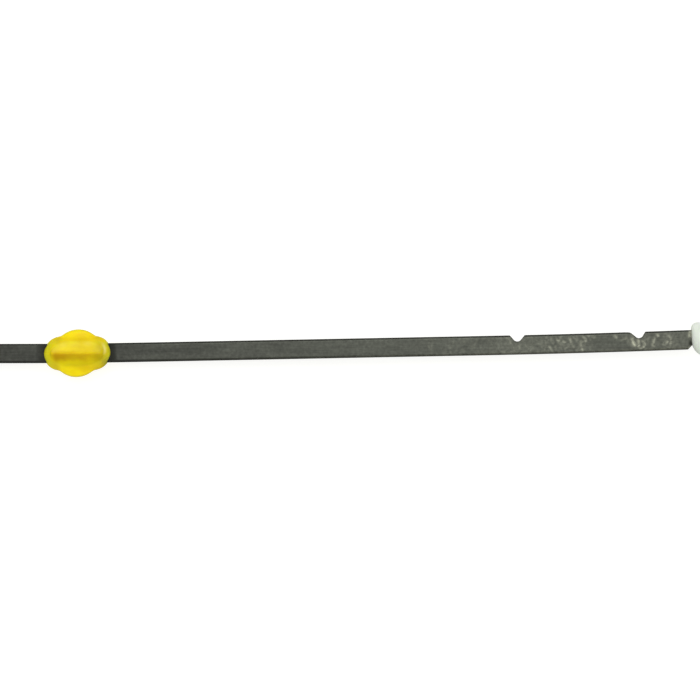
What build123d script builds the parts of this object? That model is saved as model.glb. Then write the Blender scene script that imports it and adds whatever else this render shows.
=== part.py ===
from build123d import *
import os
from math import cos, hypot, pi, radians, sin, sqrt, tan

# Engine oil dipstick: a spring-steel blade with a pull handle, a finned guide bead and a tip moulded onto it.
# Millimetres. The origin is on the blade's axis, in the plane of the handle's stop face.
# +X runs down the blade to the tip, +Y is the notched edge and +Z the upper face.

# Tube that the dipstick hangs in
tube_bore = 13.0

# Blade: flat-rolled strip with full-round edges
blade_width = 5.0
blade_thickness = 1.2
blade_root_depth = 5.0
root_key_station = 14.0
root_key_diameter = 2.4

# Level marks: rounded V notches in the +Y edge
full_mark_station = 278.0
mark_spacing = 31.0
notch_depth = 1.6
notch_angle = 80.0
notch_root_radius = 1.2

# Tang: the narrowed end of the blade inside the tip, whose bevel starts outside it on the plain edge
tang_width = 2.8
tang_length = 7.0
tang_reveal = 1.0
tang_key_diameter = 1.3

# Guide bead: flat oval barrel with a thin round fin on each edge and a roof-shaped ridge on each face
bead_station = 164.7
bead_length = 17.4
bead_clearance = 0.4
bead_crown = 0.4
bead_key_diameter = 1.8
nose_fullness = 0.6
side_fin_height = 1.4
side_fin_reach = 6.2
side_fin_fullness = 2.0
side_fin_flank_angle = 16.0
face_ridge_height = 4.6
face_ridge_reach = 7.6
face_ridge_fullness = 2.5
face_ridge_flank_angle = 31.0
fin_crest_width = 0.5
fin_crest_blend = 0.3
fin_root_blend = 0.4

# Tip: round-nosed barrel below the lower mark
tip_margin = 13.5
tip_diameter = 8.8
tip_length = 11.0
tip_shoulder_radius = 3.0

# Handle: pull loop, stop shoulder and plug stem in one moulding
loop_reach = 37.0
loop_wall = 5.5
loop_thickness = 15.0
loop_round = 2.0
finger_hole_diameter = 21.0
finger_hole_neck_radius = 5.0
shoulder_width = 20.0
shoulder_length = 8.0
stop_edge_round = 0.5
stem_length = 20.0
stem_clearance = 0.3
stem_lead_in = 1.2

# Seal: one rubber ring in the stem's groove
seal_station = 6.0
seal_cord = 2.4
seal_squeeze = 0.36
groove_width = 3.2

# Places and sizes that follow from those above
stem_radius = tube_bore / 2 - stem_clearance
groove_radius = tube_bore / 2 - (seal_cord - seal_squeeze)
fin_reach = tube_bore / 2 - bead_clearance
barrel_half_width = fin_reach - side_fin_height
barrel_half_thickness = fin_reach - face_ridge_height
barrel_end_radius = barrel_half_width - bead_crown
barrel_end_centre = bead_length / 2 - barrel_end_radius
crown_radius = (barrel_end_centre**2 + barrel_half_width**2 - barrel_end_radius**2) / (2 * bead_crown)
barrel_join = barrel_end_centre * (1 + barrel_end_radius / (crown_radius - barrel_end_radius))
low_mark_station = full_mark_station + mark_spacing
tip_station = low_mark_station + tip_margin
tang_end = tip_station + tang_length
loop_radius = finger_hole_diameter / 2 + loop_wall
loop_centre = loop_radius - loop_reach

# Places of the bead's section points, in degrees: from a side fin to a face ridge, and round the nose
quarter_angles = (0, 2.5, 5, 9, 14, 19, 24, 31, 40, 52, 66, 77, 84, 87.5)
nose_angles = (12, 24, 36, 47, 56, 66, 78)


def level_notch(station):
    """Cutter for one rounded V notch in the blade's +Y edge."""
    half_angle = radians(notch_angle / 2)
    edge = blade_width / 2
    apex = edge - notch_depth - notch_root_radius * (1 / sin(half_angle) - 1)
    mouth = edge + notch_depth
    half_mouth = (mouth - apex) * tan(half_angle)
    outline = make_face(Polyline((-half_mouth, mouth), (0, apex), (half_mouth, mouth), close=True))
    root = outline.vertices().sort_by(Axis.Y)[0]
    return Pos(X=station) * extrude(fillet(root, notch_root_radius), amount=blade_thickness, both=True)


def tang_relief(shoulder):
    """Cutter that bevels one edge of the blade from the shoulder on and narrows it to the tang."""
    edge = blade_width / 2
    step = edge - tang_width / 2
    past_end = tang_end + step
    outline = Polyline(
        (shoulder, edge),
        (shoulder + step, edge - step),
        (past_end, edge - step),
        (past_end, edge + step),
        (shoulder, edge + step),
        close=True,
    )
    return extrude(make_face(outline), amount=blade_thickness, both=True)


def key_hole(station, diameter):
    """Cutter for a hole that a moulding grips through."""
    return Pos(X=station) * Cylinder(diameter / 2, 2 * blade_thickness)


def make_blade():
    strip = Plane.YZ * SlotOverall(blade_width, blade_thickness)
    blade = Pos(X=-blade_root_depth) * extrude(strip, amount=blade_root_depth + tang_end)
    for station in (full_mark_station, low_mark_station):
        blade -= level_notch(station)
    blade -= tang_relief(tip_station)
    blade -= mirror(tang_relief(tip_station - tang_reveal), about=Plane.XZ)
    blade -= key_hole(root_key_station, root_key_diameter)
    blade -= key_hole(bead_station, bead_key_diameter)
    blade -= key_hole(tip_station + tang_length / 2, tang_key_diameter)
    return blade


def soft_max(a, b, blend):
    return (a + b + hypot(a - b, blend)) / 2


def soft_min(a, b, blend):
    return (a + b - hypot(a - b, blend)) / 2


def barrel_radius(x):
    """Half width of the bead's barrel at x from its middle: a slight crown with round ends."""
    if abs(x) < barrel_join:
        return barrel_half_width - crown_radius + sqrt(crown_radius**2 - x**2)
    return sqrt(barrel_end_radius**2 - (abs(x) - barrel_end_centre) ** 2)


def fin_outline(x, turn, reach, fullness, flank_angle):
    """Radius of a fin's flat-topped wedge at x from the bead's middle, at a turn from the fin's own plane."""
    crest = fin_reach * (1 - min(abs(x) / reach, 1) ** fullness) ** (1 / fullness)
    slope = 1 / tan(radians(flank_angle))
    flank = (crest + fin_crest_width / 2 * slope) / (abs(cos(turn)) + slope * abs(sin(turn)))
    return soft_min(crest, flank, fin_crest_blend)


def bead_radius(x, turn):
    """Radius of the bead at x from its middle: oval barrel, side fins and face ridges blended together."""
    half_width = barrel_radius(x)
    half_thickness = barrel_half_thickness * (half_width / barrel_half_width) ** nose_fullness
    blend = fin_root_blend * half_width / barrel_half_width
    oval = 1 / hypot(cos(turn) / half_width, sin(turn) / half_thickness)
    side = fin_outline(x, turn, side_fin_reach, side_fin_fullness, side_fin_flank_angle)
    face = fin_outline(x, turn + pi / 2, face_ridge_reach, face_ridge_fullness, face_ridge_flank_angle)
    return soft_max(oval, soft_max(side, face, blend), blend)


def bead_section(x):
    """Cross-section of the bead, run through the same turns at every x so that the loft stays even."""
    second = [180 - turn for turn in reversed(quarter_angles[1:])]
    half = [*quarter_angles, 90, *second]
    turns = [*half, *[turn + 180 for turn in half]]
    points = []
    for turn in turns:
        radius = bead_radius(x, radians(turn))
        points.append((x, radius * cos(radians(turn)), radius * sin(radians(turn))))
    outline = Edge.make_spline(points, periodic=True, parameters=[*turns, 360])
    return Face(Wire(outline))


def make_guide_bead(blade):
    ends = [barrel_end_centre + barrel_end_radius * cos(radians(turn)) for turn in nose_angles]
    half = [*ends, barrel_end_centre * 2 / 3, barrel_end_centre / 3]
    stations = [*half, 0, *[-x for x in reversed(half)]]
    bead = loft([bead_section(x) for x in stations])
    return Pos(X=bead_station) * bead - blade


def make_tip(blade):
    radius = tip_diameter / 2
    straight_end = tip_length - radius
    outline = Polyline((0, 0), (0, radius), (straight_end, radius))
    nose = RadiusArc((straight_end, radius), (tip_length, 0), radius)
    section = make_face([*outline.edges(), nose, Line((tip_length, 0), (0, 0))])
    corner = section.vertices().group_by(Axis.X)[0].sort_by(Axis.Y)[-1]
    section = fillet(corner, tip_shoulder_radius)
    return Pos(X=tip_station) * revolve(section, Axis.X) - blade


def finger_hole():
    neck_centre = -shoulder_length - finger_hole_neck_radius
    wide_end = Pos(X=loop_centre) * Circle(finger_hole_diameter / 2)
    neck_end = Pos(X=neck_centre) * Circle(finger_hole_neck_radius)
    return make_hull([*wide_end.edges(), *neck_end.edges()])


def pull_loop():
    """Loop and shoulder as one slab, with the stop face at X = 0."""
    bow = Pos(X=loop_centre) * Circle(loop_radius)
    shoulder = Pos(X=-shoulder_length / 2) * Rectangle(shoulder_length, shoulder_width)
    slab = extrude(make_hull([*bow.edges(), *shoulder.edges()]), amount=loop_thickness / 2, both=True)
    flat_sides = slab.faces().filter_by(Axis.Z)
    stop_edges = slab.faces().sort_by(Axis.X)[-1].edges()
    slab = fillet([edge for edge in flat_sides.edges() if edge not in stop_edges], loop_round)
    slab = fillet(slab.faces().sort_by(Axis.X)[-1].edges(), stop_edge_round)
    hole = extrude(finger_hole(), amount=loop_thickness, both=True)
    loop = slab - hole
    return fillet(new_edges(slab, hole, combined=loop), loop_round)


def plug_stem():
    """Stem from the stop face down, with a seal groove and a lead-in at its end."""
    to_axis = Rot(Y=90)
    stem = to_axis * Cylinder(stem_radius, stem_length, align=(Align.CENTER, Align.CENTER, Align.MIN))
    stem = chamfer(stem.edges().group_by(Axis.X)[-1], stem_lead_in)
    band = Cylinder(2 * stem_radius, groove_width) - Cylinder(groove_radius, groove_width)
    return stem - Pos(X=seal_station) * to_axis * band


def make_handle(blade):
    return pull_loop() + plug_stem() - blade


def make_o_ring():
    ring = Torus(groove_radius + seal_cord / 2, seal_cord / 2)
    return Pos(X=seal_station) * Rot(Y=90) * ring


blade = make_blade()
pieces = {
    "blade": blade,
    "guide_bead": make_guide_bead(blade),
    "tip": make_tip(blade),
    "handle": make_handle(blade),
    "o_ring": make_o_ring(),
}

os.makedirs("parts", exist_ok=True)
for name, piece in pieces.items():
    piece.label = name
    export_step(piece, f"parts/{name}.step")
    print(name, len(piece.solids()), "solid,", round(piece.volume, 1), "mm3")
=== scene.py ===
import math

import bmesh
import bpy
import numpy as np
from mathutils import Matrix, Vector


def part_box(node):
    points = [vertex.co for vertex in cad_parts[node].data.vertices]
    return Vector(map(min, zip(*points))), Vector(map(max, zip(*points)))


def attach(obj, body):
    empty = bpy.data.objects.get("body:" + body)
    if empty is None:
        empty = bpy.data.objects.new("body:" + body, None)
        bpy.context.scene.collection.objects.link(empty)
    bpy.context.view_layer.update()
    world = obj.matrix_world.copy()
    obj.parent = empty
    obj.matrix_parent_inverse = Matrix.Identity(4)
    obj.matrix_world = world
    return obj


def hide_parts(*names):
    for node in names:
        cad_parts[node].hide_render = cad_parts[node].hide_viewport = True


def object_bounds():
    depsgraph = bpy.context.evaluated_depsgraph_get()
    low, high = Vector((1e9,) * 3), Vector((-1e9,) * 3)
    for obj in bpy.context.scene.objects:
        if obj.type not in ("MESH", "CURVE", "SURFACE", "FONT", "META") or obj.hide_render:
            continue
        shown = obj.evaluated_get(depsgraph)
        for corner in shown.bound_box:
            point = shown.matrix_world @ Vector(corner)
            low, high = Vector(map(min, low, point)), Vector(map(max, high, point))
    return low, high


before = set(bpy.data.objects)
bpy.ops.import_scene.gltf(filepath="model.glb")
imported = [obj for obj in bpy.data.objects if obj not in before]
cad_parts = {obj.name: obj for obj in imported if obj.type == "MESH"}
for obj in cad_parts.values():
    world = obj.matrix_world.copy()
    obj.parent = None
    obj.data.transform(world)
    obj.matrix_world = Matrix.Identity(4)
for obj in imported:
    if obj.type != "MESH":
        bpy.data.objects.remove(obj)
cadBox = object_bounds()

mm = 0.001  # every size below is in millimetres, the scene is in metres
tiny = 1e-9  # keeps a division off zero


def toLinear(hexColour):
    parts = [int(hexColour[i:i + 2], 16) / 255 for i in (1, 3, 5)]
    return tuple(c / 12.92 if c <= 0.04045 else ((c + 0.055) / 1.055) ** 2.4 for c in parts) + (1.0,)


def addNode(tree, kind, inputs=None, links=None, stops=None, **settings):
    node = tree.nodes.new("ShaderNode" + kind)
    for name, value in settings.items():
        setattr(node, name, value)
    for socket, value in (inputs or {}).items():
        node.inputs[socket].default_value = value
    for socket, source in (links or {}).items():
        tree.links.new(source, node.inputs[socket])
    if stops:  # a ramp's own list of (place, colour)
        while len(node.color_ramp.elements) < len(stops):
            node.color_ramp.elements.new(0.5)
        for element, (place, colour) in zip(node.color_ramp.elements, stops):
            element.position = place
            element.color = colour
    return node


def newMaterial(name):
    material = bpy.data.materials.new(name)
    material.use_nodes = True
    return material, material.node_tree, material.node_tree.nodes["Principled BSDF"]


# Texture scale for a pattern cell of that size, given once for all sides or side by side
def perMm(*size):
    return tuple(1 / (side * mm) for side in (size * 3)[:3])


def grey(value):
    return (value, value, value, 1.0)


def smoothStep(low, high, value):
    t = np.clip((value - low) / (high - low), 0, 1)
    return t * t * (3 - 2 * t)


def softMax(a, b, blend):
    return (a + b + np.hypot(a - b, blend)) / 2


def softMin(a, b, blend):
    return (a + b - np.hypot(a - b, blend)) / 2


# Skins a stack of closed rings (rings, points, xyz in mm); loop joins the last ring to the first
def ringMesh(name, rings, loop=False, sharpAngle=50):
    count, around = rings.shape[:2]
    i = np.arange(count if loop else count - 1)[:, None]
    j = np.arange(around)[None, :]
    nextI, nextJ = (i + 1) % count, (j + 1) % around
    corners = (i * around + j, i * around + nextJ, nextI * around + nextJ, nextI * around + j)
    faces = np.stack(corners, axis=-1).reshape(-1, 4).tolist()
    if not loop:
        faces.append(list(range(around))[::-1])
        faces.append(list(range((count - 1) * around, count * around)))
    mesh = bpy.data.meshes.new(name)
    mesh.from_pydata((rings.reshape(-1, 3) * mm).tolist(), [], faces)
    outward = bmesh.new()
    outward.from_mesh(mesh)
    bmesh.ops.recalc_face_normals(outward, faces=outward.faces)
    outward.to_mesh(mesh)
    outward.free()
    mesh.polygons.foreach_set("use_smooth", [True] * len(mesh.polygons))
    mesh.set_sharp_from_angle(angle=math.radians(sharpAngle))
    piece = bpy.data.objects.new(name, mesh)
    bpy.context.scene.collection.objects.link(piece)
    return piece


def addAttribute(piece, name, values):
    attribute = piece.data.attributes.new(name, "FLOAT", "POINT")
    attribute.data.foreach_set("value", np.asarray(values, np.float32).ravel())


def settle(piece, node, material):
    piece.data.materials.append(material)
    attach(piece, "root")
    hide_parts(node)


# Places that the frame gives, in mm
bladeLow, bladeHigh = [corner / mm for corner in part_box("blade")]
beadLow, beadHigh = [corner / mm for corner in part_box("guide_bead")]
tipLow, tipHigh = [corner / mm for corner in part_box("tip")]
ringLow, ringHigh = [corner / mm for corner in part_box("o_ring")]
beadStation = (beadLow.x + beadHigh.x) / 2
tipSetOut = 0.35  # the tip's shoulder and the bevel before it sit this much further out than in the CAD
tipStation = tipLow.x + tipSetOut

# The strip isn't quite straight: a slight kink on the handle's side of the bead and a bend by the full mark
stripBow = {
    "kink": 0.565,
    "kinkPlace": 128.0,
    "kinkWidth": 26.0,
    "bendStart": 270.0,
    "bend": 1.8e-4,  # millimetres across per square millimetre along
}


def bowAt(x):
    kink = stripBow["kink"] * np.exp(-(((x - stripBow["kinkPlace"]) / stripBow["kinkWidth"]) ** 2))
    return kink + stripBow["bend"] * np.maximum(x - stripBow["bendStart"], 0) ** 2


# Spring steel strip, cold rolled and oil blackened: dull olive grey with fine grain along its length,
# black in the rolled edges with oxide scale and painted shade, with painted contact shadow beside the bead,
# and rubbed brighter where the level marks were struck and wiped
steelLook = {
    # darker towards the handle and lighter towards the tip: partly an oil film, partly painted shade
    "cleanAndUnshaded": "#51534c",
    "filmAndShade": "#3a3b37",
    "scaleAndShade": "#2b2c27",
    "rubbedAndHighlit": "#a8a996",
    "roughness": (0.42, 0.58),
    "scaleAndShadeRoughness": 0.85,
    "scaleAndShadeGloss": 0.04,
    "grainLength": 14.0,
    "grainWidth": 0.35,  # real rolling grain is near 0.05 mm, drawn coarser so that it shows
    "grainTone": ((0.25, 0.78), (0.5, 1.0), (0.75, 1.17)),  # grain noise and how much it darkens or lightens
    "grainBump": 0.25,
    "grainDepth": 0.03,
    "fleckSize": 0.8,
    "fleckTone": ((0.3, 0.84), (0.5, 1.0), (0.7, 1.18)),
    "fleckRub": (0.15, 0.65),  # fleck noise from which rubs begin to show, and where they show in full
    "filmAndShadeEnd": (143.0, 272.0),  # the darker tone, partly oil film and partly painted shade, thins out between these places along the blade
    "filmAndShadePatch": (9.0, 2.2, 2.2),
    "filmAndShadeNoise": (0.3, 0.7),
    "filmAndShadeSway": 0.22,  # share by which a patch holds more or less of the darker tone than its place gives
}


def rolledSteel(look):
    material, tree, shader = newMaterial("oil_blackened_rolled_spring_steel")
    place = addNode(tree, "TexCoord").outputs["Object"]
    grainScale = perMm(look["grainLength"], look["grainWidth"], look["grainWidth"])
    grainPlace = addNode(tree, "Mapping", {"Scale": grainScale}, {"Vector": place})
    grain = addNode(tree, "TexNoise", {"Scale": 1.0, "Detail": 4.0, "Roughness": 0.65},
                    {"Vector": grainPlace.outputs["Vector"]})
    patchPlace = addNode(tree, "Mapping", {"Scale": perMm(*look["filmAndShadePatch"])}, {"Vector": place})
    patch = addNode(tree, "TexNoise", {"Scale": 1.0, "Detail": 3.0, "Roughness": 0.55},
                    {"Vector": patchPlace.outputs["Vector"]})
    fleckPlace = addNode(tree, "Mapping", {"Scale": perMm(look["fleckSize"])}, {"Vector": place})
    fleck = addNode(tree, "TexNoise", {"Scale": 1.0, "Detail": 2.0, "Roughness": 0.6},
                    {"Vector": fleckPlace.outputs["Vector"]})
    along = addNode(tree, "SeparateXYZ", links={"Vector": place})
    filmStart, filmStop = look["filmAndShadeEnd"]
    thinning = addNode(tree, "MapRange", {"From Min": filmStart * mm, "From Max": filmStop * mm},
                       {"Value": along.outputs["X"]})
    noiseLow, noiseHigh = look["filmAndShadeNoise"]
    sway = addNode(tree, "MapRange", {"From Min": noiseLow, "From Max": noiseHigh,
                                      "To Min": -look["filmAndShadeSway"], "To Max": look["filmAndShadeSway"]},
                   {"Value": patch.outputs["Fac"]})
    # share of the lighter tone: the painted shade and the film fade out towards the tip
    cleanAndUnshadedShare = addNode(tree, "Math", links={0: thinning.outputs["Result"], 1: sway.outputs["Result"]},
                         operation="ADD", use_clamp=True)
    body = addNode(tree, "Mix", {"A": toLinear(look["filmAndShade"]), "B": toLinear(look["cleanAndUnshaded"])},
                   {"Factor": cleanAndUnshadedShare.outputs["Value"]}, data_type="RGBA")
    grainTone = addNode(tree, "ValToRGB", links={"Fac": grain.outputs["Fac"]},
                        stops=[(noise, grey(tone)) for noise, tone in look["grainTone"]])
    streaked = addNode(tree, "Mix", {"Factor": 1.0},
                       {"A": body.outputs["Result"], "B": grainTone.outputs["Color"]},
                       data_type="RGBA", blend_type="MULTIPLY")
    fleckTone = addNode(tree, "ValToRGB", links={"Fac": fleck.outputs["Fac"]},
                        stops=[(noise, grey(tone)) for noise, tone in look["fleckTone"]])
    flecked = addNode(tree, "Mix", {"Factor": 1.0},
                      {"A": streaked.outputs["Result"], "B": fleckTone.outputs["Color"]},
                      data_type="RGBA", blend_type="MULTIPLY")
    wear = addNode(tree, "Attribute", attribute_name="wear")
    rubStart, rubFull = look["fleckRub"]
    fleckCut = addNode(tree, "MapRange", {"From Min": rubStart, "From Max": rubFull},
                       {"Value": fleck.outputs["Fac"]})
    wearCut = addNode(tree, "Math", links={0: wear.outputs["Fac"], 1: fleckCut.outputs["Result"]},
                      operation="MULTIPLY", use_clamp=True)
    rubbedAndHighlit = addNode(tree, "Mix", {"B": toLinear(look["rubbedAndHighlit"])},
                     {"Factor": wearCut.outputs["Value"], "A": flecked.outputs["Result"]}, data_type="RGBA")
    # black scale, the pit, painted shade on the edges and painted contact shadow at the seams darken the
    # steel
    scalePitAndShade = addNode(tree, "Attribute", attribute_name="scalePitAndShade")
    finish = addNode(tree, "Mix", {"B": toLinear(look["scaleAndShade"])},
                     {"Factor": scalePitAndShade.outputs["Fac"], "A": rubbedAndHighlit.outputs["Result"]}, data_type="RGBA")
    smooth, dull = look["roughness"]
    sheen = addNode(tree, "MapRange", {"To Min": smooth, "To Max": dull}, {"Value": grain.outputs["Fac"]})
    roughness = addNode(tree, "Mix", {"B": look["scaleAndShadeRoughness"]},
                        {"Factor": scalePitAndShade.outputs["Fac"], "A": sheen.outputs["Result"]}, data_type="FLOAT")
    metal = addNode(tree, "MapRange", {"To Min": 1.0, "To Max": 0.0}, {"Value": scalePitAndShade.outputs["Fac"]})
    bump = addNode(tree, "Bump", {"Strength": look["grainBump"], "Distance": look["grainDepth"] * mm},
                   {"Height": grain.outputs["Fac"]})
    tree.links.new(finish.outputs["Result"], shader.inputs["Base Color"])
    tree.links.new(roughness.outputs["Result"], shader.inputs["Roughness"])
    tree.links.new(metal.outputs["Result"], shader.inputs["Metallic"])  # black scale, the pit and painted shade aren't bare metal
    tree.links.new(bump.outputs["Normal"], shader.inputs["Normal"])
    shader.inputs["Specular IOR Level"].default_value = look["scaleAndShadeGloss"]
    return material


# Acetal, injection moulded in yellow: an even satin skin with a little light coming through thin edges,
# deeper in tone with painted shade under the face ridge and in a valley, greener with painted shade
# on noses and rims, and paler with painted highlights
yellowLook = {
    "skin": "#f3df0e",
    # the darker tone serves random patches and painted shade, the greener one painted shade, the pale one
    # painted highlights
    "stainAndShade": "#c99f02",
    "filmAndShade": "#8f8c0e",
    "rubAndHighlight": "#fbe18c",
    "patch": 3.5,
    "patchNoise": (0.35, 0.75),
    "patchShare": 0.35,
    "skinGrit": 0.25,  # spark-eroded mould skin is near 0.05 mm, drawn coarser so that it shows
    "gritBump": 0.15,
    "gritDepth": 0.02,
    "roughness": (0.16, 0.27),
    "coatRoughness": 0.12,
    "ior": 1.48,
    "gloss": 0.2,
    "lightInside": 0.6,
    "lightReach": (2.4, 1.7, 0.15),  # how far red, green and blue light travels inside, in mm
}


def mouldedAcetal(look, name, flankShadeName=None, oliveShadeName=None, highlightName=None):
    material, tree, shader = newMaterial(name)
    place = addNode(tree, "TexCoord").outputs["Object"]
    patchPlace = addNode(tree, "Mapping", {"Scale": perMm(look["patch"])}, {"Vector": place})
    patch = addNode(tree, "TexNoise", {"Scale": 1.0, "Detail": 3.0, "Roughness": 0.5},
                    {"Vector": patchPlace.outputs["Vector"]})
    gritPlace = addNode(tree, "Mapping", {"Scale": perMm(look["skinGrit"])}, {"Vector": place})
    grit = addNode(tree, "TexNoise", {"Scale": 1.0, "Detail": 2.0, "Roughness": 0.5},
                   {"Vector": gritPlace.outputs["Vector"]})
    noiseLow, noiseHigh = look["patchNoise"]
    patchShare = addNode(tree, "MapRange", {"From Min": noiseLow, "From Max": noiseHigh,
                                            "To Max": look["patchShare"]},
                         {"Value": patch.outputs["Fac"]})
    share = patchShare.outputs["Result"]
    # painted shade under the face ridge and in a valley, in the darker tone
    if flankShadeName:
        stainAndShade = addNode(tree, "Attribute", attribute_name=flankShadeName)
        share = addNode(tree, "Math", links={0: share, 1: stainAndShade.outputs["Fac"]},
                        operation="ADD", use_clamp=True).outputs["Value"]
    colour = addNode(tree, "Mix", {"A": toLinear(look["skin"]), "B": toLinear(look["stainAndShade"])},
                     {"Factor": share}, data_type="RGBA")
    # greener painted shade on rims, noses, shoulders and below the tip's nose
    if oliveShadeName:
        filmAndShade = addNode(tree, "Attribute", attribute_name=oliveShadeName)
        colour = addNode(tree, "Mix", {"B": toLinear(look["filmAndShade"])},
                         {"Factor": filmAndShade.outputs["Fac"], "A": colour.outputs["Result"]}, data_type="RGBA")
        tree.links.new(filmAndShade.outputs["Fac"], shader.inputs["Coat Weight"])  # the places of painted shade also get a glossy coat
        shader.inputs["Coat Roughness"].default_value = look["coatRoughness"]
    # painted pale highlights
    if highlightName:
        rubAndHighlight = addNode(tree, "Attribute", attribute_name=highlightName)
        colour = addNode(tree, "Mix", {"B": toLinear(look["rubAndHighlight"])},
                         {"Factor": rubAndHighlight.outputs["Fac"], "A": colour.outputs["Result"]}, data_type="RGBA")
    smooth, dull = look["roughness"]
    roughness = addNode(tree, "MapRange", {"To Min": smooth, "To Max": dull}, {"Value": patch.outputs["Fac"]})
    bump = addNode(tree, "Bump", {"Strength": look["gritBump"], "Distance": look["gritDepth"] * mm},
                   {"Height": grit.outputs["Fac"]})
    tree.links.new(colour.outputs["Result"], shader.inputs["Base Color"])
    tree.links.new(roughness.outputs["Result"], shader.inputs["Roughness"])
    tree.links.new(bump.outputs["Normal"], shader.inputs["Normal"])
    shader.inputs["IOR"].default_value = look["ior"]
    shader.inputs["Specular IOR Level"].default_value = look["gloss"]
    shader.inputs["Subsurface Weight"].default_value = look["lightInside"]
    shader.inputs["Subsurface Radius"].default_value = [reach * mm for reach in look["lightReach"]]
    shader.inputs["Subsurface Scale"].default_value = 1.0
    return material


# Natural nylon, injection moulded: milky off-white with a green-grey cast,
# and light passes a few millimetres into it
nylonLook = {
    "milk": "#e7ece3",
    "cloud": "#d2dace",
    "cloudSize": 3.0,
    "roughness": (0.32, 0.45),
    "ior": 1.53,
    "lightInside": 0.5,
    "lightReach": (2.0, 2.2, 1.8),
}


def naturalNylon(look):
    material, tree, shader = newMaterial("moulded_natural_nylon")
    place = addNode(tree, "TexCoord").outputs["Object"]
    cloudPlace = addNode(tree, "Mapping", {"Scale": perMm(look["cloudSize"])}, {"Vector": place})
    cloud = addNode(tree, "TexNoise", {"Scale": 1.0, "Detail": 3.0, "Roughness": 0.5},
                    {"Vector": cloudPlace.outputs["Vector"]})
    colour = addNode(tree, "Mix", {"A": toLinear(look["milk"]), "B": toLinear(look["cloud"])},
                     {"Factor": cloud.outputs["Fac"]}, data_type="RGBA")
    smooth, dull = look["roughness"]
    roughness = addNode(tree, "MapRange", {"To Min": smooth, "To Max": dull}, {"Value": cloud.outputs["Fac"]})
    tree.links.new(colour.outputs["Result"], shader.inputs["Base Color"])
    tree.links.new(roughness.outputs["Result"], shader.inputs["Roughness"])
    shader.inputs["IOR"].default_value = look["ior"]
    shader.inputs["Subsurface Weight"].default_value = look["lightInside"]
    shader.inputs["Subsurface Radius"].default_value = [reach * mm for reach in look["lightReach"]]
    shader.inputs["Subsurface Scale"].default_value = 1.0
    return material


# Nitrile rubber, compression moulded: soft black with a dull bloom
rubberLook = {
    "black": "#17181a",
    "bloom": "#2c2d2f",
    "bloomSize": 1.6,
    "roughness": (0.45, 0.65),
    "ior": 1.52,
}


def nitrileRubber(look):
    material, tree, shader = newMaterial("moulded_nitrile_rubber")
    place = addNode(tree, "TexCoord").outputs["Object"]
    bloomPlace = addNode(tree, "Mapping", {"Scale": perMm(look["bloomSize"])}, {"Vector": place})
    bloom = addNode(tree, "TexNoise", {"Scale": 1.0, "Detail": 4.0, "Roughness": 0.6},
                    {"Vector": bloomPlace.outputs["Vector"]})
    colour = addNode(tree, "Mix", {"A": toLinear(look["black"]), "B": toLinear(look["bloom"])},
                     {"Factor": bloom.outputs["Fac"]}, data_type="RGBA")
    smooth, dull = look["roughness"]
    roughness = addNode(tree, "MapRange", {"To Min": smooth, "To Max": dull}, {"Value": bloom.outputs["Fac"]})
    tree.links.new(colour.outputs["Result"], shader.inputs["Base Color"])
    tree.links.new(roughness.outputs["Result"], shader.inputs["Roughness"])
    shader.inputs["IOR"].default_value = look["ior"]
    return material


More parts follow.
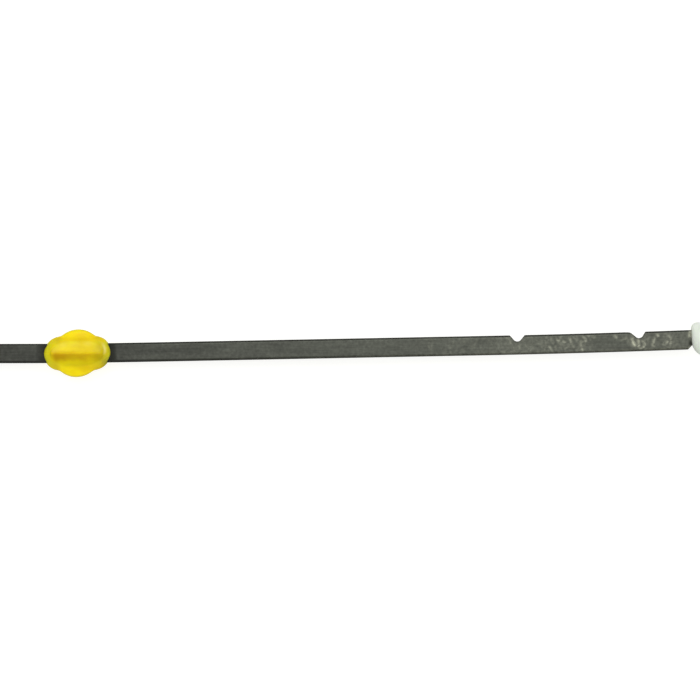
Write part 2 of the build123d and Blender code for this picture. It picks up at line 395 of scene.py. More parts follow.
# Blade: one long skin, fine round the level marks, with the struck dents in the mesh.
# Pairs over the marks give the full mark first and then the low one
bladeShape = {
    "halfWidth": (bladeHigh.y - bladeLow.y) / 2,
    "halfThickness": (bladeHigh.z - bladeLow.z) / 2,
    "lowMarkToTip": 13.5,
    "markSpacing": 31.0,
    "notchDepth": 1.6,
    "notchRoot": 1.2,
    "notchFlanks": ((40, 40), (48, 30)),  # half angles on each side: the low mark was struck at a lean
    "notchShift": (0.1, 0.35),
    "notchLip": ((0.08, 0.08), (0.3, 0.1)),
    "notchSpan": 3.5,
    "cutRound": 0.1,  # a sheared edge is sharper than a rolled one
    "cutDepth": 0.12,  # and an edge cut back this far is fully sheared
    "tangHalfWidth": 1.4,
    "tangReveal": 1.0,
    "plainStep": 1.5,
    "fineStep": 0.12,
    "fineLead": 26.0,  # the fine skin starts this far before the full mark
    "fineTail": 0.6,
    "facePoints": 37,
    "backPoints": 13,
    "edgePoints": 11,
    "dentDepth": 0.04,
    "dentWidth": (0.24, 0.28),
    "dentShare": (0.8, 1.0),
    "dentLimits": (-1.5, 0.5),
    "burr": (1.6, 0.6, 0.3),  # lip beside a dent: place and width in dent widths, height in dent depths
    "rubSpread": 1.5,  # a rub is this much wider than its dent
    "strokeReach": 6.0,
    "streaks": (  # faint rubs across the strip at random: which mark, how many, where past it, how strong
        (0, 48, (3.0, 19.0), (0.04, 0.2)),
        (1, 32, (-4.0, 11.0), (0.04, 0.2)),
        (0, 46, (-24.0, 3.0), (0.02, 0.11)),
    ),
    "streakSeed": 7,
    "streakAcross": 1.6,
    "streakReach": (0.2, 0.9),
    "streakLean": 0.35,
    "streakBend": 0.15,
    "markRub": ((-0.3, -1.0, 1.6, 0.06), (0.0, -0.4, 1.3, 0.16)),  # smudge: along, across, radius, strength
    "endRub": (  # the strip is rubbed a little round the marks: place past the full mark, strength
        (-9.0, 0.0), (-4.0, 0.075), (0.0, 0.09), (4.0, 0.075), (7.0, 0.02),
        (20.0, 0.0), (27.0, 0.0), (31.0, 0.04), (36.0, 0.05), (44.0, 0.05),
    ),
    "cornerPale": 0.65,  # the end's square corner beside the tip is painted paler
    "cornerAlong": (0.6, 1.2),
    "cornerAcross": (0.3, 0.9),
    "plainScaleAndShade": (0.45, 0.75),  # black scale and painted shade on the plain edge thin out over this distance from it
    "plainDark": (0.5, 0.0),  # its strength by the bead and by the tip
    "plainRub": 0.32,  # that edge is rubbed bright towards the tip instead
    "notchedScaleAndShade": ((0.6, 0.28, 0.4), (0.9, 0.08, 0.2)),  # on the notched edge: strength, thins from, to
    "shearedBare": 0.7,  # share of the scale and painted shade left off where an edge is sheared
    "pit": (0.3, -0.9, 1.6, 0.4),  # dark pit by the tip: distance from it, across, stretch, radius
    "seamShadowFade": (0.1, 1.0),  # painted contact shadow in the seam at the bead's ends
    # how dark the painted seam shadow and the pit are
    "seamShadowAndPitDark": 0.95,
}

# Dents and rubs as (start, middle, end, strength), each place as (along, across) from the mark's notch
fullMarkDents = [
    ((-2.6, 1.9), (-2.0, 1.4), (-1.6, 0.5), 0.28),
    ((-4.0, -1.7), (-3.6, -1.6), (-3.1, -1.8), 0.22),
    ((-0.9, -0.2), (-0.8, -0.9), (-0.5, -1.4), 0.32),
    ((0.4, -0.3), (0.7, -0.6), (0.6, -1.1), 0.3),
    ((2.3, -0.1), (2.6, -0.5), (2.9, -0.9), 0.25),
    ((0.8, -1.9), (3.8, -1.95), (7.4, -2.0), 0.25),
    ((8.2, -0.6), (8.6, -1.1), (9.1, -1.9), 0.5),
    ((9.8, -0.7), (9.9, -1.0), (9.9, -1.3), 0.3),
    ((10.3, 1.1), (10.5, 1.0), (10.9, 0.9), 0.5),
    ((11.8, 0.6), (12.0, 0.5), (12.3, 0.5), 0.45),
    ((13.6, 1.6), (13.7, 1.0), (13.9, 0.4), 0.5),
    ((14.0, 0.0), (14.3, -0.4), (14.5, -1.0), 0.35),
    ((16.3, 0.6), (16.4, -0.6), (16.8, -1.8), 0.55),
    ((16.9, 1.7), (17.4, 1.3), (17.6, 0.6), 0.45),
    ((18.2, 2.0), (18.3, 1.9), (18.4, 1.8), 0.4),
    ((19.4, 1.8), (19.6, 1.7), (19.8, 1.5), 0.4),
]
lowMarkDents = [
    ((-5.8, 1.7), (-5.7, 1.5), (-5.6, 1.3), 0.4),
    ((-1.5, 0.7), (-1.3, 0.1), (-0.8, -0.9), 0.95),
    ((-0.1, 0.4), (0.2, -0.3), (0.1, -1.0), 0.75),
    ((1.3, 0.2), (1.7, -0.4), (1.5, -1.2), 0.6),
    ((0.4, -1.6), (0.6, -1.7), (0.9, -1.6), 0.5),
    ((4.2, 0.5), (4.1, 0.2), (4.0, -0.2), 0.55),
    ((3.8, -0.8), (3.9, -1.0), (4.1, -1.1), 0.45),
    ((5.0, 1.8), (5.1, 1.6), (5.2, 1.4), 0.6),
    ((8.0, 1.3), (8.4, 0.3), (8.3, -0.6), 0.4),
    ((6.6, -0.9), (7.1, -0.7), (7.6, -0.2), 0.4),
]


# Height of the notched edge over the blade's axis
def edgeHeight(x, shape, marks):
    root, edge = shape["notchRoot"], shape["halfWidth"]
    rootCentre = edge - shape["notchDepth"] + root
    height = np.full_like(x, edge)
    for mark, flanks, shift, lip in zip(marks, shape["notchFlanks"], shape["notchShift"], shape["notchLip"]):
        off = x - mark - shift
        half = np.radians(np.where(off < 0, flanks[0], flanks[1]))
        away, reach = np.abs(off), root * np.cos(half)
        arc = rootCentre - np.sqrt(np.maximum(root**2 - away**2, 0))
        flank = rootCentre - root * np.sin(half) + (away - reach) / np.tan(half)
        notch = np.where(away < reach, arc, flank)
        lipped = softMin(edge, notch, np.where(off < 0, lip[0], lip[1]))
        height = np.where(away < shape["notchSpan"], np.minimum(height, lipped), height)
    return height


# Points of the upper face, the notched edge, the back and the plain edge, row by row along the blade
def bladeSkin(low, high, cutLow, cutHigh, shape):
    thick = shape["halfThickness"]
    roundLow, roundHigh = [thick + (shape["cutRound"] - thick) * cut for cut in (cutLow, cutHigh)]
    inLow, inHigh = low + roundLow, high - roundHigh
    turn = np.linspace(math.pi / 2, -math.pi / 2, shape["edgePoints"] + 2)[1:-1]
    wall = np.sign(np.round(np.sin(turn), 6))  # upper or lower half of an edge, and 0 for its middle
    faceY = inLow + (inHigh - inLow) * np.linspace(0, 1, shape["facePoints"])
    backY = inLow + (inHigh - inLow) * np.linspace(1, 0, shape["backPoints"])
    highY = inHigh + roundHigh * np.cos(turn)
    highZ = roundHigh * np.sin(turn) + (thick - roundHigh) * wall
    lowY = inLow - roundLow * np.cos(turn)
    lowZ = -roundLow * np.sin(turn) - (thick - roundLow) * wall
    y = np.concatenate([faceY, highY, backY, lowY], axis=1)
    z = np.concatenate([np.full_like(faceY, thick), highZ, np.full_like(backY, -thick), lowZ], axis=1)
    return y, z


def strokeDistance(x, y, stroke, steps=17):
    start, middle, end = [np.array(p) for p in stroke]
    bend = 2 * middle - (start + end) / 2  # control point that makes the curve pass through its middle
    best = np.full(x.shape, np.inf)
    for t in np.linspace(0, 1, steps):
        px, py = (1 - t) ** 2 * start + 2 * t * (1 - t) * bend + t**2 * end
        best = np.minimum(best, np.hypot(x - px, y - py))
    return best


def bladeStrokes(shape):
    strokes = []
    for which, dents in enumerate((fullMarkDents, lowMarkDents)):
        strokes += [(which, *places, strength * shape["dentShare"][which]) for *places, strength in dents]
    chance = np.random.default_rng(shape["streakSeed"])
    across = shape["streakAcross"]
    for which, count, span, strengths in shape["streaks"]:
        for place in chance.uniform(*span, count):
            middle = chance.uniform(-across, across)
            reach = chance.uniform(*shape["streakReach"])
            lean = chance.normal(0, shape["streakLean"])
            bend = chance.normal(0, shape["streakBend"])
            strokes.append((which, (place - lean, middle - reach), (place + bend, middle),
                            (place + lean, middle + reach), chance.uniform(*strengths)))
    return strokes


def strikeDents(x, y, marks, shape):
    dent, wear = np.zeros_like(y), np.zeros_like(y)
    burrPlace, burrWidth, burrHeight = shape["burr"]
    for which, *stroke, strength in bladeStrokes(shape):
        mark, (along, _) = marks[which], stroke[1]
        near = np.abs(x[:, 0] - mark - along) < shape["strokeReach"]  # rows that the stroke can touch
        away = strokeDistance(x[near] - mark, y[near], stroke) / shape["dentWidth"][which]
        groove = np.exp(-away**2)
        burr = np.exp(-((away - burrPlace) / burrWidth) ** 2)
        dent[near] += strength * (burrHeight * burr - groove)
        wear[near] = np.maximum(wear[near], strength * np.exp(-((away / shape["rubSpread"]) ** 2)))
    for mark, (along, across, radius, strength) in zip(marks, shape["markRub"]):
        smudge = np.exp(-(np.hypot(x - mark - along, y - across) / radius) ** 2)
        wear = np.maximum(wear, strength * smudge)
    return np.clip(dent, *shape["dentLimits"]), wear


# Rubs and paler places along the edges and at the end by the tip, black scale with painted shade along
# the edges, a pit by the tip, and painted contact shadow in the bead's seams
def edgeFinish(x, y, low, high, sheared, onFace, fullMark, shape):
    towardsTip = smoothStep(beadStation, tipStation, x)
    plainEdge = 1 - smoothStep(*shape["plainScaleAndShade"], y - low)
    darkByBead, darkByTip = shape["plainDark"]
    # black edge colour: partly oxide scale, partly painted shade, darkest on the plain edge away from the key
    scaleAndShade = (darkByBead + (darkByTip - darkByBead) * towardsTip) * plainEdge
    for strength, *span in shape["notchedScaleAndShade"]:
        scaleAndShade = np.maximum(scaleAndShade, strength * (1 - smoothStep(*span, high - y)))
    fromTip = tipStation - x
    corner = (1 - smoothStep(*shape["cornerAlong"], fromTip)) * smoothStep(*shape["cornerAcross"], y)
    scaleAndShade = scaleAndShade * (1 - shape["shearedBare"] * sheared) * (1 - corner)
    pitDistance, pitAcross, pitStretch, pitRadius = shape["pit"]
    pit = np.hypot(fromTip - pitDistance, (y - pitAcross) / pitStretch) / pitRadius
    gap = np.abs(x - beadStation) - (beadHigh.x - beadLow.x) / 2
    # painted contact shadow on the blade beside the bead's ends, and the dark pit by the tip
    seamShadowAndPit = np.maximum(1 - smoothStep(*shape["seamShadowFade"], gap), np.exp(-pit**2) * onFace)
    endRub = np.interp(x - fullMark, *zip(*shape["endRub"])) * onFace
    edgeRubAndPaleCorner = np.maximum(shape["plainRub"] * towardsTip * plainEdge, shape["cornerPale"] * corner)
    return np.maximum(endRub, edgeRubAndPaleCorner), np.maximum(scaleAndShade, shape["seamShadowAndPitDark"] * seamShadowAndPit)


def makeBlade(shape):
    lowMark = tipLow.x - shape["lowMarkToTip"]
    fullMark = lowMark - shape["markSpacing"]
    marks = (fullMark, lowMark)
    fineStart = fullMark - shape["fineLead"]
    plain = np.arange(bladeLow.x, fineStart, shape["plainStep"])
    fine = np.arange(fineStart, tipStation + shape["fineTail"], shape["fineStep"])
    stations = np.concatenate([plain, fine, [bladeHigh.x]])[:, None]
    half = shape["halfWidth"]
    highBevel, lowBevel = [np.maximum(half - np.maximum(stations - shoulder, 0), shape["tangHalfWidth"])
                           for shoulder in (tipStation, tipStation - shape["tangReveal"])]
    high, low = np.minimum(edgeHeight(stations, shape, marks), highBevel), -lowBevel
    cutHigh, cutLow = [smoothStep(0, shape["cutDepth"], half - reach) for reach in (high, -low)]
    y, z = bladeSkin(low, high, cutLow, cutHigh, shape)
    x = np.broadcast_to(stations, y.shape)
    onFace = np.zeros_like(y)
    onFace[:, :shape["facePoints"]] = 1.0  # only the upper face was struck and wiped
    dent, wear = strikeDents(x, y, marks, shape)
    z += shape["dentDepth"] * dent * onFace
    rubAndHighlight, scalePitAndShade = edgeFinish(x, y, low, high, np.maximum(cutHigh, cutLow), onFace, fullMark, shape)
    piece = ringMesh("blade_strip", np.stack([x, y + bowAt(x), z], axis=-1))
    addAttribute(piece, "wear", np.maximum(wear * onFace, rubAndHighlight))
    addAttribute(piece, "scalePitAndShade", scalePitAndShade)
    settle(piece, "blade", rolledSteel(steelLook))
    print("blade:", len(stations), "rings,", len(fullMarkDents) + len(lowMarkDents), "dents")


makeBlade(bladeShape)

# Guide bead: an oval barrel that swells into four ridges, with the blade's slot through it.
# Pairs over the noses give the handle's side first and then the tip's
poleReach = 0.1  # the blade's slot cuts this much off the pole of each nose
beadShape = {
    "halfLength": (beadHigh.x - beadLow.x) / 2 + poleReach,
    "poleRadius": 1e-4,
    "finReach": 6.1,
    "sideFin": 1.4,
    "faceFin": 4.6,
    "crown": 0.4,
    "noseFullness": 0.6,  # the noses keep their thickness further out than their width
    "sideReach": 6.2,
    "sideFullness": 2.0,
    "sideFlank": 16.0,
    "faceReach": 6.9,
    "faceFullness": 2.5,  # the face ridges end more bluntly than the round side fins
    "faceFlank": 31.0,
    "crestWidth": 0.5,
    "crestBlend": 0.3,
    "rootBlend": 0.3,
    "endBlend": 1.0,  # the face ridges' ends run out in a wider fillet
    "endBlendSpan": (5.0, 6.8),
    "endBlendFocus": 4,
    "endDrop": (2.0, 1.5),  # past its end a ridge sinks this deep over this length, to keep the nose smooth
    "sharpAngle": 78,
    "rings": 161,
    "slotRings": 6,
    "ridgePoints": 48,  # points round each quarter, closer together at the ridge
    "ridgePull": 1.6,
    "halvings": 40,
    "partingHeight": 0.05,
    "partingWidth": 0.18,
    "partingSide": 0.5,
    "partingFade": (1.0, 0.9),
    "askew": 0.06,  # it sits a little askew on the strip: shift along it per mm across
    "valleyShade": 0.2,  # painted shade in the valleys beside the notched side's fin
    "valleyWidth": 0.5,
    "ridgeShade": 0.85,  # and painted shade under the face ridge, strongest at the handle end
    "ridgeShadeTop": (-1.3, 0.5),
    "ridgeShadeFoot": (0.9, 2.3),
    "ridgeShadeEnds": (5.0, 7.0),
    "ridgeShadeThin": 0.6,
    "ridgeShadeThinSpan": (-5.0, 5.0),
    "ridgeShadeDips": ((-5.2, 1.0, 0.45), (-2.9, 0.7, 0.2), (2.3, 0.8, 0.45)),  # place, half width, drop
    "rimShade": 0.7,  # greener painted shade along the rims
    "rimShadeSpan": (0.05, 0.45),
    "noseShade": (0.2, 0.22),  # painted shade on the noses
    "noseShadeSpan": ((6.2, 7.4), (3.0, 6.0)),
    "shoulderShade": 0.35,  # painted shade round the noses' shoulders
    "shoulderShadeAlong": (3.5, 5.5),
    "shoulderShadeAcross": ((0.42, 0.8), (0.62, 0.95)),  # as a share of the outline's half width
    "cornerShade": 0.6,  # and more painted shade below the tip's nose
    "cornerShadeAlong": (5.4, 7.8),
    "cornerShadeAcross": (0.2, 3.0),
    "highlightArc": (3.0, 0.35, 4.15, 0.35),  # painted highlight arc on the tip's nose: along, across, radius, half width
    "highlightArcEnds": ((-0.9, 0.5), (1.8, 3.0)),
    # strength of the painted highlight arc
    "rubbedAndHighlit": 0.45,
    "highlightSpots": (  # painted highlights on the upper flank: along, across, half length, half width, strength
        (-3.5, 2.1, 1.2, 0.6, 0.12), (-0.4, 2.2, 1.8, 0.6, 0.08), (2.7, 2.4, 1.2, 0.6, 0.14),
    ),
}


def slotRadius(turn, halfWidth, halfThickness):
    flat = halfWidth - halfThickness
    c, s = np.abs(np.cos(turn)), np.abs(np.sin(turn))
    side = flat * c + np.sqrt(np.maximum(halfThickness**2 - (flat * s) ** 2, 0))
    face = halfThickness / np.maximum(s, tiny)
    return np.where(face * c < flat, face, side)


# Radius at x from the bead's middle, and how far the place is from a valley between two ridges
def beadRadius(x, turn, shape):
    halfWidth = shape["finReach"] - shape["sideFin"]
    halfThickness = shape["finReach"] - shape["faceFin"]
    endRadius = halfWidth - shape["crown"]
    endCentre = shape["halfLength"] - endRadius
    crownRadius = (endCentre**2 + halfWidth**2 - endRadius**2) / (2 * shape["crown"])
    join = endCentre * (1 + endRadius / (crownRadius - endRadius))
    away = np.abs(x)
    middle = halfWidth - crownRadius + np.sqrt(crownRadius**2 - away**2)
    nose = np.sqrt(np.maximum(endRadius**2 - np.maximum(away - endCentre, 0) ** 2, shape["poleRadius"] ** 2))
    barrel = np.where(away < join, middle, nose)
    ovalThickness = halfThickness * (barrel / halfWidth) ** shape["noseFullness"]
    oval = 1 / np.hypot(np.cos(turn) / barrel, np.sin(turn) / ovalThickness)
    ridges = []
    dropDepth, dropLength = shape["endDrop"]
    for fin, c, s in (("side", np.cos(turn), np.sin(turn)), ("face", np.sin(turn), np.cos(turn))):
        slope = 1 / math.tan(math.radians(shape[fin + "Flank"]))
        fullness = shape[fin + "Fullness"]
        along = np.minimum(away / shape[fin + "Reach"], 1)
        crest = shape["finReach"] * (1 - along**fullness) ** (1 / fullness)
        flank = (crest + shape["crestWidth"] / 2 * slope) / (np.abs(c) + slope * np.abs(s))
        past = smoothStep(0, dropLength, away - shape[fin + "Reach"])
        ridges.append(softMin(crest, flank, shape["crestBlend"]) - dropDepth * past)
    runOut = smoothStep(*shape["endBlendSpan"], away) * np.sin(turn) ** shape["endBlendFocus"]
    blend = (shape["rootBlend"] + shape["endBlend"] * runOut) * barrel / halfWidth
    star = softMax(ridges[0], ridges[1], blend)
    return softMax(oval, star, blend), np.abs(ridges[0] - ridges[1])


# Where the nose meets the slot's edge at each turn, by halving
def noseReach(turn, slot, shape):
    near, far = np.full_like(turn, shape["halfLength"] / 2), np.full_like(turn, shape["halfLength"])
    for _ in range(shape["halvings"]):
        guess = (near + far) / 2
        outside = beadRadius(guess, turn, shape)[0] > slot
        near, far = np.where(outside, guess, near), np.where(outside, far, guess)
    return near


# Painted shade under the face ridge and in a valley, greener painted shade, and painted highlights;
# above and below are distances from the face ridge across the strip
def beadPaintedLight(x, turn, radius, fromValley, shape):
    above, side = np.cos(turn) * radius, np.abs(np.sin(turn)) * radius
    below, away, upper = -above, np.abs(x), np.sin(turn) > 0
    # painted shade in the valley and on the flank under the face ridge, where the ridge shades it
    valley = shape["valleyShade"] * np.exp(-((fromValley / shape["valleyWidth"]) ** 2)) * (below < 0)
    ridgeShadeDip = sum(drop * np.exp(-(((x - place) / wide) ** 2)) for place, wide, drop in shape["ridgeShadeDips"])
    ridgeShadeMask = smoothStep(*shape["ridgeShadeTop"], below) * (1 - smoothStep(*shape["ridgeShadeFoot"], below - ridgeShadeDip))
    ridgeShadeMask = ridgeShadeMask * upper * (1 - shape["ridgeShadeThin"] * smoothStep(*shape["ridgeShadeThinSpan"], x))
    ridgeShadeMask = ridgeShadeMask * (1 - smoothStep(*shape["ridgeShadeEnds"], away))
    stainAndShade = np.maximum(valley, shape["ridgeShade"] * ridgeShadeMask)

    # painted highlights: an arc on the tip's nose and spots on the upper flank
    arcAlong, arcAcross, arcRadius, arcWidth = shape["highlightArc"]
    arc = (np.hypot(x - arcAlong, above - arcAcross) - arcRadius) / arcWidth
    arcStart, arcEnd = shape["highlightArcEnds"]
    rubAndHighlight = np.exp(-arc**2) * smoothStep(*arcStart, above) * (1 - smoothStep(*arcEnd, above))
    rubAndHighlight = shape["rubbedAndHighlit"] * rubAndHighlight * (x > 0)
    for along, across, halfLength, halfWidth, strength in shape["highlightSpots"]:
        spot = np.exp(-(((x - along) / halfLength) ** 2) - ((above - across) / halfWidth) ** 2)
        rubAndHighlight = np.maximum(rubAndHighlight, strength * spot)
    rubAndHighlight = rubAndHighlight * upper

    # greener painted shade on the rims, the noses, their shoulders and below the tip's nose
    rim = 1 - smoothStep(*shape["rimShadeSpan"], side)
    (handleNose, tipNose), (handleSpan, tipSpan) = shape["noseShade"], shape["noseShadeSpan"]
    nose = np.where(x < 0, handleNose * smoothStep(*handleSpan, -x), tipNose * smoothStep(*tipSpan, x))
    acrossShare = np.abs(below) / beadRadius(x, np.zeros_like(turn), shape)[0]
    handleSide, tipSide = [smoothStep(*span, acrossShare) for span in shape["shoulderShadeAcross"]]
    shoulder = smoothStep(*shape["shoulderShadeAlong"], away) * np.where(x < 0, handleSide, tipSide)
    corner = smoothStep(*shape["cornerShadeAlong"], x) * smoothStep(*shape["cornerShadeAcross"], below)
    filmAndShade = np.maximum(shape["rimShade"] * rim, nose + shape["cornerShade"] * corner)
    filmAndShade = np.maximum(filmAndShade, shape["shoulderShade"] * shoulder) * (1 - rubAndHighlight)
    return {"stainAndShade": stainAndShade, "filmAndShade": filmAndShade, "rubAndHighlight": rubAndHighlight}


def makeBead(shape):
    spread = np.linspace(-1, 1, shape["ridgePoints"] + 1)[:-1]
    offsets = math.pi / 4 * np.sign(spread) * np.abs(spread) ** shape["ridgePull"]
    turn = np.concatenate([offsets + quarter * math.pi / 2 for quarter in range(4)])
    slot = slotRadius(turn, bladeShape["halfWidth"], bladeShape["halfThickness"])
    reach = noseReach(turn, slot, shape)
    share = np.sin(np.linspace(-math.pi / 2, math.pi / 2, shape["rings"]))[:, None]
    x = share * reach
    radius, fromValley = beadRadius(x, turn, shape)
    radius[0], radius[-1] = slot, slot
    # painted shade and painted highlights, kept as point layers
    layers = beadPaintedLight(x, turn, radius, fromValley, shape)
    line = np.exp(-(np.abs(np.sin(turn)) * radius / shape["partingWidth"]) ** 2)
    line = line * (np.abs(np.cos(turn)) > shape["partingSide"])
    radius = radius + shape["partingHeight"] * line * smoothStep(*shape["partingFade"], np.abs(share))
    inner = np.linspace(1, -1, shape["slotRings"])[1:-1, None] * reach
    x = np.concatenate([x, inner])
    radius = np.concatenate([radius, np.broadcast_to(slot, inner.shape)])
    y, z = radius * np.cos(turn), radius * np.sin(turn)
    x = x + shape["askew"] * y + beadStation
    rings = np.stack([x, y + bowAt(x), z], axis=-1)
    piece = ringMesh("finned_bead", rings, loop=True, sharpAngle=shape["sharpAngle"])
    for name, values in layers.items():
        addAttribute(piece, name, np.concatenate([values, np.zeros_like(inner)]))
    acetal = mouldedAcetal(yellowLook, "moulded_yellow_acetal", *layers)
    settle(piece, "guide_bead", acetal)
    print("bead:", rings.shape[0], "rings of", rings.shape[1])


makeBead(beadShape)

# Tip: round-nosed barrel with a softly moulded shoulder and a pocket for the tang
tipShape = {
    "radius": tipHigh.z,
    "length": tipHigh.x - tipStation,
    "shoulder": 2.6,
    "shoulderLean": 1.2,  # the shoulder is tighter on the notched side
    "faceLean": 0.03,  # and its end face is moulded a little askew
    "points": 96,
    "faceRings": 6,
    "shoulderRings": 14,
    "noseRings": 22,
}


def makeTip(shape):
    turn = np.linspace(0, 2 * math.pi, shape["points"], endpoint=False)
    c = np.cos(turn)
    overSide, overFace = np.maximum(np.abs(c), tiny), np.maximum(np.abs(np.sin(turn)), tiny)
    radius, straightEnd = shape["radius"], shape["length"] - shape["radius"]
    pocketSide = np.where(c > 0, bladeShape["halfWidth"], bladeShape["halfWidth"] - bladeShape["tangReveal"])
    mouth = np.minimum(pocketSide / overSide, bladeShape["halfThickness"] / overFace)
    tang = np.minimum(mouth, bladeShape["tangHalfWidth"] / overSide)
    shoulder = shape["shoulder"] - shape["shoulderLean"] * c
    flat = np.maximum(radius - shoulder, mouth)  # the end face stops here and the shoulder begins
    first = np.arcsin(np.clip(1 - (radius - flat) / shoulder, 0, 1))
    faceX = shoulder * (1 - np.cos(first))
    pocketEnd = bladeHigh.x - tipStation
    rows = [(np.full_like(turn, depth), tang) for depth in (pocketEnd, pocketEnd / 2)]
    for share in np.linspace(0, 1, shape["faceRings"]):
        rows.append((faceX, mouth + (flat - mouth) * share))
    for share in np.linspace(0, 1, shape["shoulderRings"])[1:]:
        bend = first + (math.pi / 2 - first) * share
        rows.append((shoulder * (1 - np.cos(bend)), radius - shoulder * (1 - np.sin(bend))))
    for bend in np.linspace(0, math.pi / 2, shape["noseRings"])[:-1]:
        rows.append((np.full_like(turn, straightEnd + radius * math.sin(bend)),
                     np.full_like(turn, radius * math.cos(bend))))
    rings = []
    for depth, reach in rows:
        askew = shape["faceLean"] * reach * c * np.maximum(1 - depth / straightEnd, 0)
        x = tipStation + depth - askew
        rings.append(np.stack([x, reach * c + bowAt(x), reach * np.sin(turn)], axis=-1))
    piece = ringMesh("nylon_tip", np.array(rings))
    settle(piece, "tip", naturalNylon(nylonLook))
    print("tip:", len(rows), "rings")


makeTip(tipShape)

# Seal: a rubber ring with the fine flash line that its mould leaves
sealShape = {
    "cordRadius": (ringHigh.x - ringLow.x) / 2,
    "outerRadius": ringHigh.z,
    "around": 128,
    "section": 40,
    "flashHeight": 0.04,
    "flashWidth": 0.12,
}


def makeSeal(shape):
    cordTurn = np.linspace(0, 2 * math.pi, shape["section"], endpoint=False)
    turn = np.linspace(0, 2 * math.pi, shape["around"], endpoint=False)[:, None]
    cord = shape["cordRadius"] - shape["flashHeight"]
    cord = cord + shape["flashHeight"] * np.exp(-(cord * np.sin(cordTurn) / shape["flashWidth"]) ** 2)
    reach = shape["outerRadius"] - shape["cordRadius"] + cord * np.cos(cordTurn)
    middle = (ringLow.x + ringHigh.x) / 2
    x = np.broadcast_to(middle + cord * np.sin(cordTurn), (shape["around"], shape["section"]))
    rings = np.stack([x, reach * np.cos(turn), reach * np.sin(turn)], axis=-1)
    piece = ringMesh("seal_ring", rings, loop=True)
    settle(piece, "o_ring", nitrileRubber(rubberLook))
    print("seal:", shape["around"], "rings")


makeSeal(sealShape)

# Handle: the CAD's own mesh in the same acetal, with larger and fainter patches, and none of the bead's
# painted shade or highlights
handleLook = {**yellowLook, "patch": 16.0, "patchShare": 0.15}


def dressHandle(look):
    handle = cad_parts["handle"]
    handle.data.materials.clear()
    handle.data.materials.append(mouldedAcetal(look, "moulded_yellow_acetal_handle"))
    print("handle: dressed")


dressHandle(handleLook)

# Floor: matt opal glass of a light table, white under everything
floorLook = {
    "halfSize": 12.0,  # metres
    "board": "#9a9a98",
    "shade": "#949492",
    "mottle": 40.0,
    "roughness": 0.9,
    "gloss": 0.2,
    "glowColour": "#fbfbf9",
    "glow": 0.85,  # lit mostly from below, so that it stays white under the blade
}


def makeFloor(look):
    half, height = look["halfSize"], cadBox[0].z
    corners = [(-half, -half, height), (half, -half, height), (half, half, height), (-half, half, height)]
    mesh = bpy.data.meshes.new("studio_floor")
    mesh.from_pydata(corners, [], [(0, 1, 2, 3)])
    floor = bpy.data.objects.new("studio_floor", mesh)
    bpy.context.scene.collection.objects.link(floor)
    material, tree, shader = newMaterial("matt_opal_glass")
    place = addNode(tree, "TexCoord").outputs["Object"]
    mottlePlace = addNode(tree, "Mapping", {"Scale": perMm(look["mottle"])}, {"Vector": place})
    mottle = addNode(tree, "TexNoise", {"Scale": 1.0}, {"Vector": mottlePlace.outputs["Vector"]})
    colour = addNode(tree, "Mix", {"A": toLinear(look["board"]), "B": toLinear(look["shade"])},
                     {"Factor": mottle.outputs["Fac"]}, data_type="RGBA")
    tree.links.new(colour.outputs["Result"], shader.inputs["Base Color"])
    shader.inputs["Roughness"].default_value = look["roughness"]
    shader.inputs["Specular IOR Level"].default_value = look["gloss"]
    shader.inputs["Emission Color"].default_value = toLinear(look["glowColour"])
    shader.inputs["Emission Strength"].default_value = look["glow"]
    floor.data.materials.append(material)
    floor.visible_glossy = False  # the glass would whiten every steep flank: the cards are mirrored instead
    print("floor: laid")


makeFloor(floorLook)

# Studio light: a large soft key over the notched edge, a small box beyond the tip for a glint
# on the bead's nose, and a room that is brighter on the key's side
studio = {
    "aim": (240, 0, 0),
    "keyPlace": (60, 400, 1310),
    "keySize": (900, 700),
    "keyPower": 9.0,
    "glintPlace": (700, 330, 1150),
    "glintSize": (200, 200),
    "glintPower": 1.1,
    "roomColour": "#fdfdfb",
    "roomLean": (0.15, 0.75, 0.65),
    "roomSpan": (-0.6, 0.9),
    "roomLight": (0.54, 0.56),
    "cardTop": (-0.15, -0.35),  # low cards below the horizon, which only show as reflections
    "cardSpan": (-0.4, 0.6),
    "cardLight": (0.03, 0.6),  # black on the plain edge's side and white on the notched one's
}


def addSoftbox(name, aim, place, size, power):
    light = bpy.data.lights.new(name, "AREA")
    light.shape = "RECTANGLE"
    light.size, light.size_y = [s * mm for s in size]
    light.energy = power
    lamp = bpy.data.objects.new(name, light)
    lamp.location = Vector(place) * mm
    lamp.visible_camera = False
    lamp.rotation_euler = ((Vector(aim) - Vector(place)) * mm).to_track_quat("-Z", "Y").to_euler()
    bpy.context.scene.collection.objects.link(lamp)


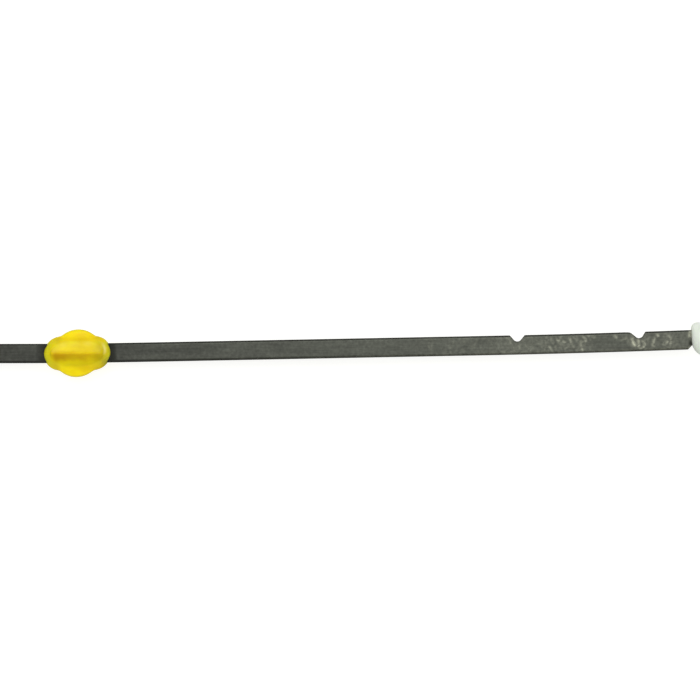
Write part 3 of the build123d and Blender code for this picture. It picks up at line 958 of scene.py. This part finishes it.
def makeStudio(look):
    addSoftbox("key_softbox", look["aim"], look["keyPlace"], look["keySize"], look["keyPower"])
    addSoftbox("glint_softbox", look["aim"], look["glintPlace"], look["glintSize"], look["glintPower"])
    world = bpy.data.worlds.new("pale_room")
    bpy.context.scene.world = world
    world.use_nodes = True
    tree = world.node_tree
    place = addNode(tree, "TexCoord").outputs["Generated"]
    lean = addNode(tree, "VectorMath", {1: look["roomLean"]}, {0: place}, operation="DOT_PRODUCT")
    (roomStart, roomEnd), (roomDark, roomBright) = look["roomSpan"], look["roomLight"]
    room = addNode(tree, "MapRange", {"From Min": roomStart, "From Max": roomEnd,
                                      "To Min": roomDark, "To Max": roomBright},
                   {"Value": lean.outputs["Value"]}, interpolation_type="SMOOTHSTEP")
    axes = addNode(tree, "SeparateXYZ", links={"Vector": place})
    (cardStart, cardEnd), (cardDark, cardBright) = look["cardSpan"], look["cardLight"]
    card = addNode(tree, "MapRange", {"From Min": cardStart, "From Max": cardEnd,
                                      "To Min": cardDark, "To Max": cardBright},
                   {"Value": axes.outputs["Y"]}, interpolation_type="SMOOTHSTEP")
    topStart, topEnd = look["cardTop"]
    low = addNode(tree, "MapRange", {"From Min": topStart, "From Max": topEnd}, {"Value": axes.outputs["Z"]})
    strength = addNode(tree, "Mix", links={"Factor": low.outputs["Result"], "A": room.outputs["Result"],
                                           "B": card.outputs["Result"]}, data_type="FLOAT")
    backdrop = tree.nodes["Background"]
    backdrop.inputs["Color"].default_value = toLinear(look["roomColour"])
    tree.links.new(strength.outputs["Result"], backdrop.inputs["Strength"])
    bpy.context.scene.view_settings.view_transform = "Standard"
    print("studio: lights and room")


makeStudio(studio)

# Camera: straight over the blade, rolled a little so that the tip end sits higher in the picture
view = {
    "distance": 1000.0,
    "pixelsPerMm": 3.885,
    "pictureWidth": 700,
    "sensor": 36.0,
    "clip": (0.01, 100),  # metres
    "middleStation": 235.03,  # place on the blade at the middle of the picture's width
    "axisAboveMiddle": 0.455,  # the blade runs this far above the picture's middle
    "yaw": 1.5,
    "roll": 1.11,
}


def makeCamera(look):
    yaw, roll = math.radians(look["yaw"]), math.radians(look["roll"])
    ahead = Vector((-math.sin(yaw), 0, -math.cos(yaw)))
    levelRight, levelUp = Vector((math.cos(yaw), 0, -math.sin(yaw))), Vector((0, 1, 0))
    right = levelRight * math.cos(roll) - levelUp * math.sin(roll)
    up = levelRight * math.sin(roll) + levelUp * math.cos(roll)
    target = Vector((look["middleStation"], 0, 0)) - up * look["axisAboveMiddle"]
    place = (target - ahead * look["distance"]) * mm
    lens = bpy.data.cameras.new("photo_camera")
    lens.sensor_width = look["sensor"]
    lens.lens = look["sensor"] * look["pixelsPerMm"] * look["distance"] / look["pictureWidth"]
    lens.clip_start, lens.clip_end = look["clip"]
    camera = bpy.data.objects.new("photo_camera", lens)
    camera.matrix_world = Matrix((
        (right.x, up.x, -ahead.x, place.x),
        (right.y, up.y, -ahead.y, place.y),
        (right.z, up.z, -ahead.z, place.z),
        (0, 0, 0, 1),
    ))
    bpy.context.scene.collection.objects.link(camera)
    bpy.context.scene.camera = camera
    print("camera:", round(lens.lens, 1), "mm lens")


makeCamera(view)
